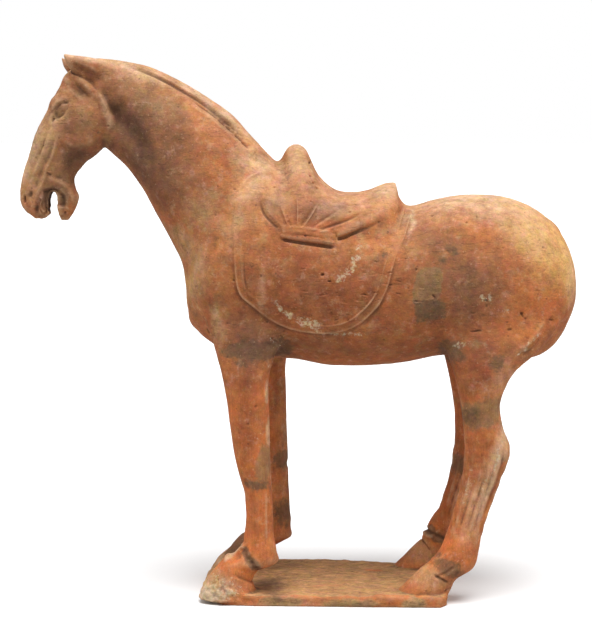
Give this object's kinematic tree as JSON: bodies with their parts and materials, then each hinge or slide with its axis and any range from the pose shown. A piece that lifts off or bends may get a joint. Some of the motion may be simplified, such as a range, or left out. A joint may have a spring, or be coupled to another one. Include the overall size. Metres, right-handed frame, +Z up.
{
  "type": "pottery horse figure",
  "caption": "Saddled horse of unglazed fired clay, standing square with lowered head on a thin slab base, moulded and fired in one piece.",
  "frame": {"origin": "on the floor under the middle of the figure's box: the underside of the slab is z = 0", "axes": "+Z up, -X towards the horse's head, -Y towards the horse's left side"},
  "size_m": [0.3719, 0.1112, 0.3604],
  "materials": {
    "terracotta": "matt unglazed orange-brown earthenware with traces of pale slip, grey earth stains and worn edges"
  },
  "bodies": {
    "root": {"horse_figure": "terracotta"}
  },
  "joints": []
}
